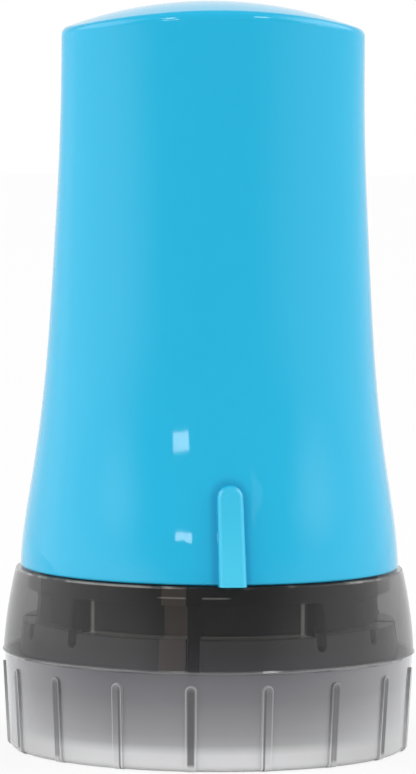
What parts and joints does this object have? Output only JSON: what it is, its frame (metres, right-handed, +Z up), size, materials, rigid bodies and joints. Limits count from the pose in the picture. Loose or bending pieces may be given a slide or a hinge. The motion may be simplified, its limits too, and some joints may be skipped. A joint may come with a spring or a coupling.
{
  "type": "privacy roller stamp",
  "caption": "Self-inking roller stamp for blotting out private text: a flattened bell-shaped grip with a domed crown, standing on a see-through pull-off cap that covers the inked drum.",
  "frame": {"origin": "middle of the cap's foot, on the surface that the stamp stands on", "axes": "+Z up through the grip, -Y the front with the direction rib, X along the drum's axle"},
  "size_m": [0.0382, 0.0382, 0.069],
  "materials": {
    "housing_blue": "high gloss moulded",
    "chassis_dark": "satin moulded",
    "cap_smoke": "clear smoke-grey plastic, glossy",
    "cartridge_grey": "satin moulded",
    "axle_steel": "turned",
    "core_white": "satin moulded",
    "tyre_black": "matt",
    "sleeve_rubber": "matt, ink-stained",
    "foam_ink": "ink-soaked foam"
  },
  "bodies": {
    "handle": {"housing": "housing_blue", "chassis": "chassis_dark", "cartridge_frame": "cartridge_grey", "cartridge_side_plate": "cartridge_grey", "drum_axle": "axle_steel", "ink_axle": "axle_steel"},
    "cap": {"cap": "cap_smoke"},
    "drum": {"drum_core": "core_white", "drum_wheel_left": "core_white", "drum_wheel_right": "core_white", "drum_tyre_left": "tyre_black", "drum_tyre_right": "tyre_black", "stamp_sleeve": "sleeve_rubber"},
    "ink_roller": {"ink_bobbin": "core_white", "ink_flange": "core_white", "ink_foam": "foam_ink"}
  },
  "joints": [
    {"name": "cap_pull", "type": "slide", "parent": "handle", "child": "cap", "axis": [0, 0, -1], "range_m": [0, 0.022]},
    {"name": "drum_spin", "type": "hinge", "parent": "handle", "child": "drum", "pos_m": [0, 0, 0.0112], "axis": [1, 0, 0], "continuous": true},
    {"name": "ink_roller_spin", "type": "hinge", "parent": "handle", "child": "ink_roller", "pos_m": [0, 0, 0.02385], "axis": [1, 0, 0], "continuous": true}
  ],
  "couplings": [
    {"joint": "ink_roller_spin", "follows": "drum_spin", "ratio": -1.7778}
  ]
}
